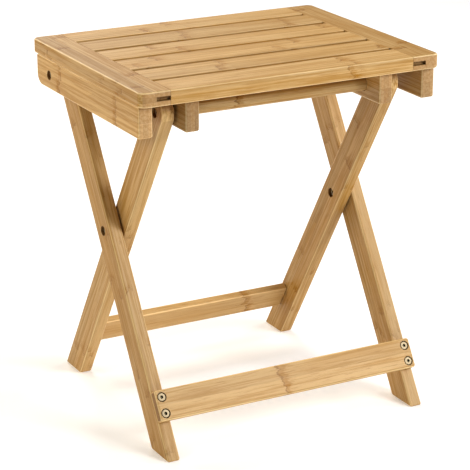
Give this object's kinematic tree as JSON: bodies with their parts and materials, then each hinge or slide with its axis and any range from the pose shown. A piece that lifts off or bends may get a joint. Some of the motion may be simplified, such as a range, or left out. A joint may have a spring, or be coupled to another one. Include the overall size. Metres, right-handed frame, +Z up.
{
  "type": "folding shower stool",
  "caption": "Folding bamboo shower stool with a slatted seat, crossed legs and a crossbar that slides in slotted rails.",
  "frame": {"origin": "on the floor, under the middle of the seat", "axes": "+X to the right as the stool is seen from the front, +Y towards the back, +Z up"},
  "size_m": [0.4, 0.3434, 0.45],
  "materials": {
    "bamboo": "clear satin lacquer over laminated bamboo strips",
    "steel": "plain satin",
    "nylon": "plain matte"
  },
  "bodies": {
    "outer_frame": {"outer_leg_left": "bamboo", "outer_leg_right": "bamboo", "front_stretcher": "bamboo", "stretcher_bolt_left_upper": "steel", "stretcher_bolt_left_lower": "steel", "stretcher_bolt_right_upper": "steel", "stretcher_bolt_right_lower": "steel", "pivot_bolt_left": "steel", "pivot_bolt_right": "steel", "pivot_insert_left": "steel", "pivot_insert_right": "steel", "cross_bolt_left": "steel", "cross_bolt_right": "steel", "cross_nut_left": "steel", "cross_nut_right": "steel", "pivot_washer_left": "nylon", "pivot_washer_right": "nylon", "cross_washer_left": "nylon", "cross_washer_right": "nylon"},
    "seat": {"seat_end_rail_left": "bamboo", "seat_end_rail_right": "bamboo", "seat_slat_1": "bamboo", "seat_slat_2": "bamboo", "seat_slat_3": "bamboo", "seat_slat_4": "bamboo", "seat_slat_5": "bamboo", "seat_slat_6": "bamboo", "apron_left": "bamboo", "apron_right": "bamboo", "slotted_rail_left": "bamboo", "slotted_rail_right": "bamboo", "apron_screw_left_front": "steel", "apron_screw_left_back": "steel", "apron_screw_right_front": "steel", "apron_screw_right_back": "steel", "rail_screw_left_front": "steel", "rail_screw_left_back": "steel", "rail_screw_right_front": "steel", "rail_screw_right_back": "steel"},
    "inner_frame": {"inner_leg_left": "bamboo", "inner_leg_right": "bamboo", "crossbar": "bamboo", "rear_stretcher": "bamboo", "crossbar_screw_left": "steel", "crossbar_screw_right": "steel", "stretcher_pin_left_upper": "bamboo", "stretcher_pin_left_lower": "bamboo", "stretcher_pin_right_upper": "bamboo", "stretcher_pin_right_lower": "bamboo"}
  },
  "joints": [
    {"name": "leg_scissor", "type": "hinge", "parent": "outer_frame", "child": "inner_frame", "pos_m": [0, 0, 0.23896], "axis": [-1, 0, 0], "range_deg": [0, 63.5]},
    {"name": "seat_hinge", "type": "hinge", "parent": "outer_frame", "child": "seat", "pos_m": [0, 0.108, 0.4118], "axis": [-1, 0, 0], "range_deg": [0, 31.75]}
  ],
  "couplings": [
    {"joint": "seat_hinge", "follows": "leg_scissor", "ratio": 0.5}
  ]
}
